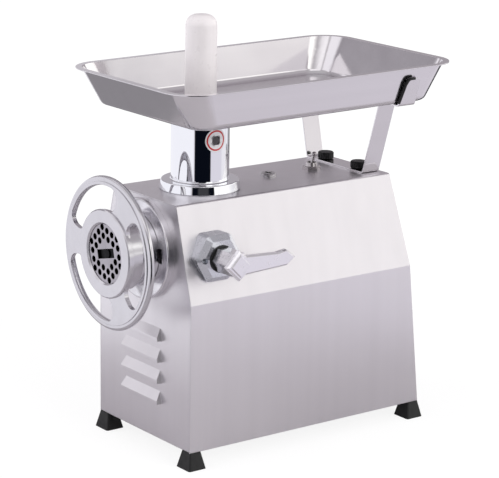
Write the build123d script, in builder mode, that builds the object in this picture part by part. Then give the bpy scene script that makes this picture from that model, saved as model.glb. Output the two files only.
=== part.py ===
from build123d import *
from math import acos, cos, pi, radians, sin, sqrt, tan
import os

os.makedirs("parts", exist_ok=True)

# Electric meat grinder of the size-22 type: a folded steel housing on four rubber feet, a
# grinding head with a three-spoke ring nut at the front, a feed neck with tray and pusher on
# top, and a geared motor inside.  Millimetres, +Z up, the head faces -Y and the lock lever is
# on the +X side.  It is drawn about the middle of the housing; save() then puts the origin on
# the bench, under the centre of the whole machine's outline.

# ---- driving dimensions -------------------------------------------------------------------
body_length = 380  # housing depth at the base
body_width = 207  # between the upright skirts
foot_height = 22  # underside of the housing above the bench
knee_z = 216  # where the skirts turn inwards
top_z = 338  # top plate
top_width = 140
rear_lean = 34.5  # how far the top of the rear panel leans forward
sheet = 1.2  # stainless sheet
bend_radius = 3  # outside radius of the folds
axis_z = 270  # height of the grinding head's axis
clamp_z = 272  # height of the lock lever's axis
neck_behind_front = 85.5  # neck axis behind the front face
clamp_behind_front = 44  # lock lever axis behind the front face
plate_radius = 41  # size-22 mincing plate, 82 mm across

base_z = foot_height
front_y = -body_length / 2
rear_y = body_length / 2
neck_y = front_y + neck_behind_front
clamp_y = front_y + clamp_behind_front
seam = 0.2  # gap between neighbouring sheets

# grinding head, from the hoop backwards
hoop_y = front_y - 58
hoop_radius = 99
hoop_section = 12
hoop_depth = 8
hub_y = hoop_y - 4
hub_radius = 57
hub_depth = 6
mouth_radius = 38
mouth_lip = 3
web_depth = 6
skirt_radius = 49.5
skirt_end_y = front_y - 35
thread_radius = 44
thread_end_y = front_y - 24
barrel_radius = 47
bore_radius = 37.5
plate_front_y = hub_y + mouth_lip
plate_thickness = 9
plate_rear_y = plate_front_y + plate_thickness
knife_thickness = 9
barrel_end_y = front_y + 130
rear_wall = 8
collar_radius = 65.5
collar_depth = 9.5

# feed neck and tray
neck_radius = 37.7
neck_bore = 32
neck_flange_radius = 52.5
neck_flange_height = 12
tray_z = 440.3  # underside of the tray at its middle
tray_depth = 50.2
tray_width = 278.8
tray_length = 444
tray_lip = 8
side_flare = 20.5  # how far the side walls lean out, lip included
end_flare = 35
tray_middle_y = -3
tray_corner = 46
tray_tilt = 0.6  # degrees the tray slopes down towards the head
pusher_radius = 20.4
pusher_top_z = 562.5
lever_face_x = 150  # outer face of the lock lever

# gear train: two equal 3 : 1 steps down to the auger
output_teeth = 45
lay_pinion_teeth = 15
output_module = 2.0
lay_teeth = 54
motor_teeth = 18
motor_module = 1.5
lay_z = axis_z - output_module * (output_teeth + lay_pinion_teeth) / 2
motor_z = lay_z - motor_module * (lay_teeth + motor_teeth) / 2
case_radius = 56
case_front_y = barrel_end_y + 2
case_rear_y = case_front_y + 70
cover_rear_y = case_rear_y + 6
shield_y = cover_rear_y + 2
motor_radius = 64
frame_y = shield_y + 12
frame_end_y = frame_y + 96
motor_end_y = frame_end_y + 10


def rear_at(z):
    """Y of the leaning rear face at height z."""
    return rear_y - rear_lean * (z - base_z) / (top_z - base_z)


def tray_under(y):
    """Height of the underside of the sloping tray at depth y."""
    return tray_z + (y - tray_middle_y) * tan(radians(tray_tilt))


def across(y):
    """A drawing plane across the machine at depth y, seen from the front: X right, Z up."""
    return Plane.XZ.offset(-y)


def slab(y_front, y_rear, mode=Mode.ADD):
    """Extrude the waiting sketch, drawn on across(y_rear), forward to y_front."""
    extrude(amount=y_rear - y_front, mode=mode)


def disc(radius, y_front, y_rear, x=0, z=axis_z, mode=Mode.ADD):
    """A round slice along Y."""
    with BuildSketch(across(y_rear)) as profile:
        with Locations((x, z)):
            Circle(radius)
    extrude(profile.sketch, amount=y_rear - y_front, mode=mode)


def post(radius, z_low, z_high, x=0, y=0, mode=Mode.ADD):
    """A round slice along Z."""
    with BuildSketch(Plane.XY.offset(z_low)) as profile:
        with Locations((x, y)):
            Circle(radius)
    extrude(profile.sketch, amount=z_high - z_low, mode=mode)


def rod(radius, x_left, x_right, y=clamp_y, z=clamp_z, mode=Mode.ADD):
    """A round slice along X."""
    with BuildSketch(Plane.YZ.offset(x_left)) as profile:
        with Locations((y, z)):
            Circle(radius)
    extrude(profile.sketch, amount=x_right - x_left, mode=mode)


def block(x_span, y_span, z_span, mode=Mode.ADD):
    """A box from three (low, high) spans."""
    with BuildSketch(Plane.XY.offset(z_span[0])) as profile:
        with Locations(((x_span[0] + x_span[1]) / 2, (y_span[0] + y_span[1]) / 2)):
            Rectangle(x_span[1] - x_span[0], y_span[1] - y_span[0])
    extrude(profile.sketch, amount=z_span[1] - z_span[0], mode=mode)


def housing_outline(inset=0.0):
    """Front view of the housing: upright skirts, a knee, sloping shoulders, a flat top."""
    half = body_width / 2
    top_half = top_width / 2
    with BuildSketch() as face:
        with BuildLine():
            Polyline(
                (-half, base_z),
                (-half, knee_z),
                (-top_half, top_z),
                (top_half, top_z),
                (half, knee_z),
                (half, base_z),
                close=True,
            )
        make_face()
        fillet(face.vertices().group_by(Axis.Y)[1:], bend_radius)
        if inset:
            offset(amount=-inset, kind=Kind.INTERSECTION)
    return face.sketch


def stadium(radius, y_front, y_rear, mode=Mode.ADD):
    """A slice with round ends about the auger axis and the motor axis."""
    with BuildSketch(across(y_rear)) as profile:
        with Locations((0, axis_z), (0, motor_z)):
            Circle(radius)
        with Locations((0, (axis_z + motor_z) / 2)):
            Rectangle(2 * radius, axis_z - motor_z)
    extrude(profile.sketch, amount=y_rear - y_front, mode=mode)


# outermost points: tray rim and lever across the machine, ring nut and tray rim along it
outline_x = (lever_face_x - tray_width / 2) / 2
tilt = radians(tray_tilt)
tray_rear_y = tray_middle_y + tray_length / 2 * cos(tilt) - tray_depth * sin(tilt)
outline_y = (hub_y + tray_rear_y) / 2


def save(builder, name):
    """Move one finished sub-part to the shared origin, label it and write its STEP file."""
    piece = builder.part.moved(Location((-outline_x, -outline_y, 0)))
    piece.label = name
    export_step(piece, f"parts/{name}.step")


# ---- housing ------------------------------------------------------------------------------
hole_clear = 0.4
boss_radius = 24  # round shank of the clamp boss, through the side of the housing
bracket_x = (-41, 29)  # where the two thumb knobs stand
bracket_y = (123, 150.5)
knob_y = 136
switch_at = (-8, 85)
plug_at = (-6, 11)
foot_at = [(sx * 95, sy * (rear_y - 8.5)) for sx in (-1, 1) for sy in (-1, 1)]
stud_radius = 3
foot_hole = 3.3

with BuildPart() as housing_shell:
    with BuildSketch(across(rear_y)):
        add(housing_outline())
        offset(amount=-sheet, mode=Mode.SUBTRACT)
        with Locations((0, base_z)):
            Rectangle(body_width - 2 * sheet, 4 * sheet, mode=Mode.SUBTRACT)
    slab(front_y, rear_y)
    with BuildSketch(Plane.YZ):
        with BuildLine():
            Polyline(
                (rear_y, base_z),
                (rear_y + 5, base_z),
                (rear_y + 5, top_z + 5),
                (rear_at(top_z + 5), top_z + 5),
                close=True,
            )
        make_face()
    extrude(amount=body_width, both=True, mode=Mode.SUBTRACT)
    post(neck_bore, top_z - 5, top_z + 5, 0, neck_y, Mode.SUBTRACT)
    post(6.5, top_z - 5, top_z + 5, *switch_at, Mode.SUBTRACT)
    post(7.5, top_z - 5, top_z + 5, *plug_at, Mode.SUBTRACT)
    for x in bracket_x:
        post(stud_radius + hole_clear, top_z - 5, top_z + 5, x, knob_y, Mode.SUBTRACT)
    rod(boss_radius + hole_clear, 70, 110, mode=Mode.SUBTRACT)

louver_pitch = 28.1
louver_top_z = 164.3
louver_x = -2.7  # middle of the row of louvers across the panel
louver_half = 43.5  # half width of the hood along its open lower edge
louver_lean = 5  # each end leans in by this much up to the hood's top
louver_height = 18
louver_front = 4.5  # height of the hood's upright front strip
louver_out = 7
panel_flange = 18
vent_rows = 4


def hood_outline(y, foot, top, half):
    """A slice of a hood across the machine: wide at its foot, with ends leaning inwards."""
    top_half = half - louver_lean * (top - foot) / louver_height
    with BuildSketch(across(y)) as outline:
        with BuildLine():
            Polyline(
                (louver_x - half, foot),
                (louver_x - top_half, top),
                (louver_x + top_half, top),
                (louver_x + half, foot),
                close=True,
            )
        make_face()
    return outline.sketch.faces()[0]


def louver_hood(z, inset, mode):
    """A pressed hood, open underneath: a face leaning out downwards between slanting ends."""
    foot = z - louver_height / 2 - inset
    top = z + louver_height / 2 - inset
    front_top = z - louver_height / 2 + louver_front - inset
    root = hood_outline(front_y + sheet + inset, foot, top, louver_half - inset)
    front = hood_outline(front_y - louver_out + inset, foot, front_top, louver_half - 0.8 - inset)
    with BuildPart() as hood:
        loft([root, front])
    add(hood.part, mode=mode)


with BuildPart() as front_panel:
    with BuildSketch(across(front_y + sheet)):
        add(housing_outline(sheet + seam))
    slab(front_y, front_y + sheet)
    with BuildSketch(across(front_y + panel_flange)):
        add(housing_outline(sheet + seam))
        add(housing_outline(2 * sheet + seam), mode=Mode.SUBTRACT)
    slab(front_y + sheet, front_y + panel_flange)
    for row in range(vent_rows):
        z = louver_top_z - row * louver_pitch
        louver_hood(z, 0, Mode.ADD)
        louver_hood(z, sheet, Mode.SUBTRACT)
    disc(54, front_y - 1, front_y + panel_flange + 1, mode=Mode.SUBTRACT)
    for x, y in foot_at:
        if y < 0:
            post(foot_hole, base_z, base_z + 5, x, y, Mode.SUBTRACT)

gland_at = (60, 60)

with BuildPart() as rear_panel:
    with BuildSketch(across(rear_y)):
        add(housing_outline(sheet + seam))
    slab(rear_y - 60, rear_y)
    with BuildSketch(Plane.YZ):
        with BuildLine():
            Polyline(
                (rear_at(base_z), base_z),
                (rear_at(top_z), top_z),
                (rear_at(top_z) - sheet, top_z),
                (rear_at(base_z) - sheet, base_z),
                close=True,
            )
        make_face()
    extrude(amount=body_width, both=True, mode=Mode.INTERSECT)
    for row in range(6):
        with BuildSketch(across(rear_y + 5)):
            with Locations((0, 130 + 12 * row)):
                SlotOverall(90, 4)
        slab(rear_y - 60, rear_y + 5, Mode.SUBTRACT)
    disc(8.2, rear_y - 60, rear_y + 5, *gland_at, Mode.SUBTRACT)

pan_thickness = sheet
pan_edge = body_width / 2 - sheet - seam
pan_front = front_y + sheet + seam
pan_rear = rear_at(base_z + 16) - sheet - seam
pedestal_bolt_at = [(sx * 41, case_front_y + dy) for sx in (-1, 1) for dy in (14, 56)]

with BuildPart() as base_plate:
    block((-pan_edge, pan_edge), (pan_front, pan_rear), (base_z, base_z + pan_thickness))
    for side in (-1, 1):
        block(
            sorted((side * pan_edge, side * (pan_edge - pan_thickness))),
            (front_y + panel_flange + seam, pan_rear),
            (base_z, base_z + 16),
        )
    for x, y in foot_at:
        post(foot_hole, base_z - 1, base_z + 5, x, y, Mode.SUBTRACT)
    for x, y in pedestal_bolt_at:
        post(4.3, base_z - 1, base_z + 5, x, y, Mode.SUBTRACT)
    for row in range(5):
        with BuildSketch(Plane.XY.offset(base_z - 1)):
            with Locations((0, 100 + 14 * row)):
                SlotOverall(90, 5)
        extrude(amount=5, mode=Mode.SUBTRACT)

foot_top = (19, 17)
foot_base = (30, 27)
screw_head_z = 9


def make_foot(x, y):
    """A square rubber foot that widens downwards, with a recess for its screw's head."""
    with BuildPart() as foot:
        with BuildSketch(Plane.XY.offset(0)) as sole:
            with Locations((x, y)):
                Rectangle(*foot_base)
            fillet(sole.vertices(), 3)
        with BuildSketch(Plane.XY.offset(foot_height)) as crown:
            with Locations((x, y)):
                Rectangle(*foot_top)
            fillet(crown.vertices(), 2)
        loft()
        post(6.2, 0, screw_head_z, x, y, Mode.SUBTRACT)
        post(foot_hole, 0, foot_height, x, y, Mode.SUBTRACT)
    return foot


feet = {}
for x, y in foot_at:
    place = ("rear" if y > 0 else "front", "right" if x > 0 else "left")
    feet[f"foot_{place[0]}_{place[1]}"] = make_foot(x, y)

nut_z = base_z + 2 * sheet + 2 * seam

with BuildPart() as foot_screws:
    for x, y in foot_at:
        post(5.5, screw_head_z - 4, screw_head_z, x, y)
        post(stud_radius, screw_head_z, nut_z + 6, x, y)
        with BuildSketch(Plane.XY.offset(nut_z)):
            with Locations((x, y)):
                RegularPolygon(5.7, 6)
        extrude(amount=5)

# ---- grinding head: fixed parts -----------------------------------------------------------
notch_height = 19
notch_reach = 53
socket_clear = 0.4
socket_radius = barrel_radius + socket_clear
socket_wall = 5

with BuildPart() as head_collar:
    disc(collar_radius, front_y - collar_depth, front_y)
    edges_front = head_collar.faces().sort_by(Axis.Y)[0].edges()
    fillet(edges_front, 2)
    disc(socket_radius + 0.3, front_y - collar_depth - 1, front_y + 1, mode=Mode.SUBTRACT)
    # the notch at three o'clock lets the head's locating lug through
    block(
        (30, notch_reach),
        (front_y - collar_depth - 1, front_y + 1),
        (axis_z - notch_height / 2, axis_z + notch_height / 2),
        Mode.SUBTRACT,
    )

throat_radius = neck_bore + 1.5

with BuildPart() as head_socket:
    disc(socket_radius + socket_wall, front_y, barrel_end_y)
    # the flange that bolts against the gearbox
    stadium(case_radius, barrel_end_y - 8, case_front_y)
    rod(boss_radius + 5, 0, 66)
    disc(socket_radius, front_y - 1, case_front_y + 1, mode=Mode.SUBTRACT)
    post(neck_bore + 4, axis_z, top_z, 0, neck_y, Mode.SUBTRACT)
    rod(boss_radius + 0.05, 0, 70, mode=Mode.SUBTRACT)
    block(
        (30, notch_reach),
        (front_y - 1, front_y + 12),
        (axis_z - notch_height / 2, axis_z + notch_height / 2),
        Mode.SUBTRACT,
    )

# ---- gearbox ------------------------------------------------------------------------------
case_cavity = 50
flange_radius = 61
output_journal = 15
lay_journal = 8
motor_journal = 7.5
output_bearing = 29
lay_bearing = 16
motor_bearing = 17
bearing_width = 13
front_wall = 8
case_floor_y = case_front_y + front_wall
front_bearing_y = case_floor_y - 2
rear_bearing_y = case_rear_y - 7

case_bolt_at = []
for angle in (20, 55, 90, 125, 160):
    a = radians(angle)
    case_bolt_at.append((58.3 * cos(a), axis_z + 58.3 * sin(a)))
for angle in (200, 235, 305, 340):
    a = radians(angle)
    case_bolt_at.append((58.3 * cos(a), motor_z + 58.3 * sin(a)))

with BuildPart() as gearbox_case:
    stadium(case_radius, case_front_y, case_rear_y)
    stadium(flange_radius, case_rear_y - 8, case_rear_y)
    # pedestal down to the base plate
    block((-32, 32), (case_front_y, case_rear_y), (base_z + 12, motor_z))
    block((-50, 50), (case_front_y, case_rear_y), (base_z + pan_thickness, base_z + 12))
    block(
        (-24, 24),
        (case_front_y + 10, case_rear_y + 1),
        (base_z + 12, motor_z - case_radius - 4),
        Mode.SUBTRACT,
    )
    stadium(case_cavity, case_floor_y, case_rear_y + 1, Mode.SUBTRACT)
    disc(output_bearing + 5, case_floor_y, case_floor_y + bearing_width - 2)
    disc(lay_bearing + 4, case_floor_y, case_floor_y + bearing_width - 2, 0, lay_z)
    disc(output_bearing, front_bearing_y, case_floor_y + bearing_width, mode=Mode.SUBTRACT)
    disc(lay_bearing, front_bearing_y, case_floor_y + bearing_width, 0, lay_z, Mode.SUBTRACT)
    disc(22, case_front_y - 1, case_rear_y, mode=Mode.SUBTRACT)
    for x, y in pedestal_bolt_at:
        post(4.3, base_z, base_z + 20, x, y, Mode.SUBTRACT)
    for x, z in case_bolt_at:
        disc(2.6, case_rear_y - 20, case_rear_y + 1, x, z, Mode.SUBTRACT)

with BuildPart() as gearbox_cover:
    stadium(flange_radius, case_rear_y, cover_rear_y)
    disc(output_bearing + 5, rear_bearing_y, case_rear_y)
    disc(lay_bearing + 4, rear_bearing_y, case_rear_y, 0, lay_z)
    disc(output_bearing, rear_bearing_y - 1, rear_bearing_y + bearing_width - 2, mode=Mode.SUBTRACT)
    disc(lay_bearing, rear_bearing_y - 1, rear_bearing_y + bearing_width - 2, 0, lay_z, Mode.SUBTRACT)
    disc(motor_journal + 2, case_rear_y - 1, cover_rear_y + 1, 0, motor_z, Mode.SUBTRACT)
    for x, z in case_bolt_at:
        disc(2.6, case_rear_y - 1, cover_rear_y + 1, x, z, Mode.SUBTRACT)

with BuildPart() as gearbox_bolts:
    for x, z in case_bolt_at:
        disc(2.5, case_rear_y - 14, cover_rear_y, x, z)
        disc(2.9, cover_rear_y, cover_rear_y + 3, x, z)

with BuildPart() as pedestal_bolts:
    for x, y in pedestal_bolt_at:
        post(4, base_z, base_z + 13, x, y)
        with BuildSketch(Plane.XY.offset(base_z + 12)):
            with Locations((x, y)):
                RegularPolygon(7.2, 6)
        extrude(amount=6)


def ring(outer, inner, y_front, y_rear, z=axis_z):
    """A plain ring about an axis along Y."""
    with BuildSketch(across(y_rear)) as profile:
        with Locations((0, z)):
            Circle(outer)
            Circle(inner, mode=Mode.SUBTRACT)
    extrude(profile.sketch, amount=y_rear - y_front)


def ball_bearing(outer, inner, y_front, z):
    """A shielded ball bearing: two races and the shield between them, as one closed ring."""
    ring(outer, inner, y_front, y_front + bearing_width - 2, z)
    race = (outer - inner) / 4
    for y in (y_front, y_front + bearing_width - 3):
        with BuildSketch(across(y + 1)) as groove:
            with Locations((0, z)):
                Circle(outer - race)
                Circle(inner + race, mode=Mode.SUBTRACT)
        extrude(groove.sketch, amount=1, mode=Mode.SUBTRACT)


with BuildPart() as output_bearings:
    for y in (front_bearing_y, rear_bearing_y):
        ball_bearing(output_bearing, output_journal, y, axis_z)

with BuildPart() as lay_bearings:
    for y in (front_bearing_y, rear_bearing_y):
        ball_bearing(lay_bearing, lay_journal, y, lay_z)

with BuildPart() as oil_seal:
    ring(22, output_journal + 0.05, case_front_y, front_bearing_y)

pressure_angle = radians(20)
gear_play = 0.12  # taken off each flank


def involute(base_radius, radius):
    """Polar angle of an involute of the base circle where it reaches the given radius."""
    roll = acos(min(1.0, base_radius / radius))
    return tan(roll) - roll


def gear_teeth(teeth, module, z, first_angle, y_front, y_rear):
    """An involute spur gear about (0, z), with one tooth centred on first_angle (degrees)."""
    pitch_radius = teeth * module / 2
    base_radius = pitch_radius * cos(pressure_angle)
    tip = pitch_radius + module
    root = pitch_radius - 1.25 * module
    half_tooth = pi / 2 / teeth - gear_play / pitch_radius + involute(base_radius, pitch_radius)
    start = max(base_radius, root + 0.01)
    radii = [start, (start + pitch_radius) / 2, pitch_radius, (pitch_radius + tip) / 2, tip]
    points = []
    for tooth in range(teeth):
        middle = radians(first_angle) + 2 * pi * tooth / teeth
        leading = [(r, middle - half_tooth + involute(base_radius, r)) for r in radii]
        trailing = [(r, 2 * middle - a) for r, a in reversed(leading)]
        flank = [(root, leading[0][1])] + leading + trailing + [(root, trailing[-1][1])]
        points += [(r * cos(a), z + r * sin(a)) for r, a in flank]
    with BuildSketch(across(y_rear)) as profile:
        with BuildLine():
            Polyline(*points, close=True)
        make_face()
    extrude(profile.sketch, amount=y_rear - y_front)


gear_low_y = case_floor_y + bearing_width + 1  # first gear plane, output step
output_face = 20
lay_face = 13
lay_plane_y = gear_low_y + output_face + 2
drive_square = 15

with BuildPart() as output_shaft:
    disc(output_journal, barrel_end_y - 4, rear_bearing_y + bearing_width - 3)
    disc(output_journal + 2.5, gear_low_y + output_face, rear_bearing_y - 1)
    with BuildSketch(across(barrel_end_y + 18)):
        with Locations((0, axis_z)):
            Rectangle(drive_square + 0.5, drive_square + 0.5)
    slab(barrel_end_y - 5, barrel_end_y + 18, Mode.SUBTRACT)

with BuildPart() as output_gear:
    gear_teeth(output_teeth, output_module, axis_z, -90, gear_low_y, gear_low_y + output_face)
    disc(output_journal, gear_low_y - 1, gear_low_y + output_face + 1, mode=Mode.SUBTRACT)
    for y in (gear_low_y, gear_low_y + output_face - 5):
        with BuildSketch(across(y + 5)):
            with Locations((0, axis_z)):
                Circle(36)
                Circle(23, mode=Mode.SUBTRACT)
        slab(y, y + 5, Mode.SUBTRACT)

with BuildPart() as lay_shaft:
    lay_tooth_angle = 90 + 180 / lay_pinion_teeth
    lay_face_y = gear_low_y + output_face
    gear_teeth(lay_pinion_teeth, output_module, lay_z, lay_tooth_angle, gear_low_y - 1, lay_face_y)
    disc(lay_journal, front_bearing_y, rear_bearing_y + bearing_width - 3, 0, lay_z)

with BuildPart() as lay_gear:
    gear_teeth(lay_teeth, motor_module, lay_z, -90, lay_plane_y, lay_plane_y + lay_face)
    disc(lay_journal, lay_plane_y - 1, lay_plane_y + lay_face + 1, 0, lay_z, Mode.SUBTRACT)
    with BuildSketch(across(lay_plane_y + lay_face + 1)):
        with Locations((0, lay_z)):
            with PolarLocations(25, 6):
                Circle(7)
    slab(lay_plane_y - 1, lay_plane_y + lay_face + 1, Mode.SUBTRACT)

with BuildPart() as motor_pinion:
    motor_tooth_angle = 90 + 180 / motor_teeth
    pinion_y = (lay_plane_y - 1, lay_plane_y + lay_face + 1)
    gear_teeth(motor_teeth, motor_module, motor_z, motor_tooth_angle, *pinion_y)
    disc(motor_journal, pinion_y[0] - 1, pinion_y[1] + 1, 0, motor_z, Mode.SUBTRACT)

# ---- motor --------------------------------------------------------------------------------
rotor_radius = 36
air_gap = 0.5
rotor_y = frame_y + 14
rotor_end_y = frame_end_y - 14
stator_radius = motor_radius - 4
fan_y = motor_end_y + 3
fan_depth = 10
fan_radius = 50

with BuildPart() as motor_shaft:
    disc(motor_journal, lay_plane_y - 4, shield_y + 12, 0, motor_z)
    disc(motor_journal + 3, shield_y + 12, frame_end_y - 2, 0, motor_z)
    disc(motor_journal, frame_end_y - 2, fan_y + fan_depth + 2, 0, motor_z)

with BuildPart() as rotor_core:
    disc(rotor_radius, rotor_y, rotor_end_y, 0, motor_z)
    ring(rotor_radius - 4, rotor_radius - 14, rotor_y - 6, rotor_y, motor_z)
    ring(rotor_radius - 4, rotor_radius - 14, rotor_end_y, rotor_end_y + 6, motor_z)
    disc(motor_journal + 3, rotor_y - 1, rotor_end_y + 1, 0, motor_z, Mode.SUBTRACT)

with BuildPart() as stator_core:
    ring(stator_radius, rotor_radius + air_gap, rotor_y, rotor_end_y, motor_z)

with BuildPart() as stator_winding:
    for y in (rotor_y - 11, rotor_end_y):
        ring(stator_radius - 5, rotor_radius + 3, y, y + 11, motor_z)

with BuildPart() as motor_frame:
    ring(motor_radius, stator_radius, frame_y, frame_end_y, motor_z)
    for side in (-1, 1):
        block(
            (side * 50 - 5, side * 50 + 5),
            (frame_y + 10, frame_end_y - 10),
            (motor_z - 60, motor_z - 40),
        )
    disc(stator_radius, frame_y, frame_end_y, 0, motor_z, Mode.SUBTRACT)

with BuildPart() as motor_shield_front:
    disc(motor_radius, shield_y + 2, frame_y, 0, motor_z)
    disc(motor_bearing + 5, shield_y + 2, frame_y + 8, 0, motor_z)
    disc(motor_bearing, shield_y + 5, frame_y + 9, 0, motor_z, Mode.SUBTRACT)
    disc(motor_journal + 1.5, shield_y, frame_y + 9, 0, motor_z, Mode.SUBTRACT)

with BuildPart() as motor_shield_rear:
    disc(motor_radius, frame_end_y, motor_end_y, 0, motor_z)
    disc(motor_bearing, frame_end_y - 1, motor_end_y - 3, 0, motor_z, Mode.SUBTRACT)
    disc(motor_journal + 1.5, frame_end_y - 1, motor_end_y + 1, 0, motor_z, Mode.SUBTRACT)

with BuildPart() as motor_bearings:
    ring(motor_bearing, motor_journal, shield_y + 5, shield_y + 12, motor_z)
    ring(motor_bearing, motor_journal, frame_end_y, motor_end_y - 3, motor_z)

with BuildPart() as cooling_fan:
    ring(14, motor_journal, fan_y, fan_y + fan_depth, motor_z)
    disc(fan_radius, fan_y, fan_y + 2, 0, motor_z)
    disc(motor_journal, fan_y - 1, fan_y + fan_depth + 1, 0, motor_z, Mode.SUBTRACT)
    with BuildSketch(across(fan_y + fan_depth)):
        with Locations((0, motor_z)):
            with PolarLocations(31, 9):
                Rectangle(36, 2)
    slab(fan_y + 2, fan_y + fan_depth)

with BuildPart() as fan_cowl:
    ring(motor_radius + 1.2, motor_radius, frame_end_y + 4, fan_y + fan_depth + 4, motor_z)
    disc(motor_radius + 1.2, fan_y + fan_depth + 4, fan_y + fan_depth + 5.2, 0, motor_z)
    with BuildSketch(across(fan_y + fan_depth + 6)):
        with Locations((0, motor_z)):
            with PolarLocations(34, 16):
                SlotOverall(34, 5)
    slab(fan_y + fan_depth + 3, fan_y + fan_depth + 6, Mode.SUBTRACT)

with BuildPart() as motor_cradle:
    for side in (-1, 1):
        block(
            (side * 50 - 9, side * 50 + 9),
            (frame_y + 10, frame_end_y - 10),
            (base_z + pan_thickness, motor_z - 60),
        )
    block(
        (-59, 59),
        (frame_y + 10, frame_end_y - 10),
        (base_z + pan_thickness, base_z + pan_thickness + 4),
    )

with BuildPart() as run_capacitor:
    disc(20, frame_y, frame_y + 80, -81, 52)
    fillet(run_capacitor.edges().filter_by(GeomType.CIRCLE), 2)
    for dx in (-5, 5):
        block((-81 + dx - 3, -81 + dx + 3), (frame_y - 8, frame_y), (51.5, 52.5))

with BuildPart() as terminal_block:
    block((62, 92), (60, 118), (base_z + pan_thickness, base_z + pan_thickness + 18))
    for step in range(4):
        y = 68 + 14 * step
        for x in (69, 85):
            post(2.5, base_z + pan_thickness + 12, base_z + pan_thickness + 19, x, y, Mode.SUBTRACT)

with BuildPart() as cable_gland:
    gland_y = rear_at(gland_at[1])
    disc(8, gland_y - 16, gland_y + 4, *gland_at)
    with BuildSketch(across(gland_y + 12)):
        with Locations(gland_at):
            RegularPolygon(13, 6)
    extrude(amount=10.2)
    disc(10, gland_y + 12, gland_y + 22, *gland_at)
    disc(4, gland_y - 17, gland_y + 23, *gland_at, Mode.SUBTRACT)

# ---- grinding head: the parts that come out -------------------------------------------------
barrel_front_y = plate_front_y + 3
key_size = 5
key_z = axis_z + plate_radius - 0.6
pocket_y = plate_rear_y
auger_neck = 17
auger_root = 15

with BuildPart() as head_barrel:
    disc(thread_radius, barrel_front_y, thread_end_y)
    disc(barrel_radius, thread_end_y, barrel_end_y)
    # locating lug at three o'clock
    block(
        (40, notch_reach - 0.8),
        (front_y + 3, front_y + 10),
        (axis_z - notch_height / 2 + 0.6, axis_z + notch_height / 2 - 0.6),
    )
    disc(plate_radius + 0.1, barrel_front_y - 1, pocket_y, mode=Mode.SUBTRACT)
    disc(key_size / 2, barrel_front_y - 1, plate_rear_y + 6, 0, key_z, Mode.SUBTRACT)
    disc(bore_radius, pocket_y - 1, barrel_end_y - rear_wall, mode=Mode.SUBTRACT)
    disc(auger_neck, barrel_end_y - rear_wall - 1, barrel_end_y + 1, mode=Mode.SUBTRACT)
    post(throat_radius - 3, axis_z, axis_z + 60, 0, neck_y, Mode.SUBTRACT)

with BuildPart() as plate_key:
    disc(key_size / 2, barrel_front_y, plate_rear_y + 6, 0, key_z)

hole_radius = 4.2
hole_pitch = 11.4
hole_ring = (14, 35.5)  # the holes' centres lie between these two radii
pattern_turn = 14  # degrees the plate stands turned about its axis
seat_length = 38
seat_width = 12
seat_depth = 3


def plate_holes():
    """Hole centres on a triangular pitch, leaving out the middle and the pin's seat."""
    turn = radians(pattern_turn)
    centres = []
    for row in range(-4, 5):
        for column in range(-6, 7):
            along = hole_pitch * row * sqrt(3) / 2
            beside = hole_pitch * (column + row % 2 / 2)
            on_ring = hole_ring[0] < sqrt(along**2 + beside**2) < hole_ring[1]
            clear_of_seat = (
                abs(along) > seat_length / 2 + hole_radius or abs(beside) > seat_width / 2 + hole_radius
            )
            if on_ring and clear_of_seat:
                x = along * cos(turn) - beside * sin(turn)
                centres.append((x, axis_z + along * sin(turn) + beside * cos(turn)))
    return centres


with BuildPart() as mincing_plate:
    disc(plate_radius, plate_front_y, plate_rear_y)
    disc(6, plate_front_y - 1, plate_rear_y + 1, mode=Mode.SUBTRACT)
    with BuildSketch(across(plate_rear_y + 1)):
        with Locations(*plate_holes()):
            Circle(hole_radius)
    slab(plate_front_y - 1, plate_rear_y + 1, Mode.SUBTRACT)
    # the sunk seat of the auger's pin
    with BuildSketch(across(plate_front_y + seat_depth)):
        with Locations((0, axis_z)):
            Rectangle(seat_length, seat_width, rotation=pattern_turn)
    slab(plate_front_y - 1, plate_front_y + seat_depth, Mode.SUBTRACT)
    disc(key_size / 2 + 0.1, plate_front_y - 1, plate_rear_y + 1, 0, key_z, Mode.SUBTRACT)

knife_y = plate_rear_y + 0.3
knife_end_y = knife_y + knife_thickness
pin_square = 11

with BuildPart() as knife:
    disc(13, knife_y, knife_end_y)
    with BuildSketch(across(knife_end_y)):
        with Locations((0, axis_z)):
            with PolarLocations(22, 4):
                Trapezoid(26, 12, 80)
    slab(knife_y, knife_end_y)
    with BuildSketch(across(knife_end_y + 1)):
        with Locations((0, axis_z)):
            Rectangle(pin_square + 0.1, pin_square + 0.1)
    slab(knife_y - 1, knife_end_y + 1, Mode.SUBTRACT)

with BuildPart() as auger_pin:
    disc(5.9, plate_front_y + 1.5, knife_y)
    with BuildSketch(across(knife_end_y + 0.2)):
        with Locations((0, axis_z)):
            Rectangle(pin_square, pin_square)
    slab(knife_y, knife_end_y + 0.2)

screw_start_y = knife_end_y + 0.5
screw_end_y = barrel_end_y - rear_wall - 0.5
flight_radius = bore_radius - 0.6
flight_pitch = 34
flight_half_angle = 26
flight_length = screw_end_y - screw_start_y

with BuildSketch(across(screw_end_y), mode=Mode.PRIVATE) as flight_section:
    with Locations((0, axis_z)):
        Circle(auger_root)
    with BuildLine():
        edge_x = flight_radius * sin(radians(flight_half_angle))
        edge_z = flight_radius * cos(radians(flight_half_angle))
        Line((0, axis_z), (edge_x, axis_z + edge_z))
        ThreePointArc(
            (edge_x, axis_z + edge_z),
            (0, axis_z + flight_radius),
            (-edge_x, axis_z + edge_z),
        )
        Line((-edge_x, axis_z + edge_z), (0, axis_z))
    make_face()

worm = Solid.extrude_linear_with_rotation(
    flight_section.sketch.faces()[0],
    center=(0, screw_end_y, axis_z),
    normal=(0, -flight_length, 0),
    angle=360 * flight_length / flight_pitch,
)

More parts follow.
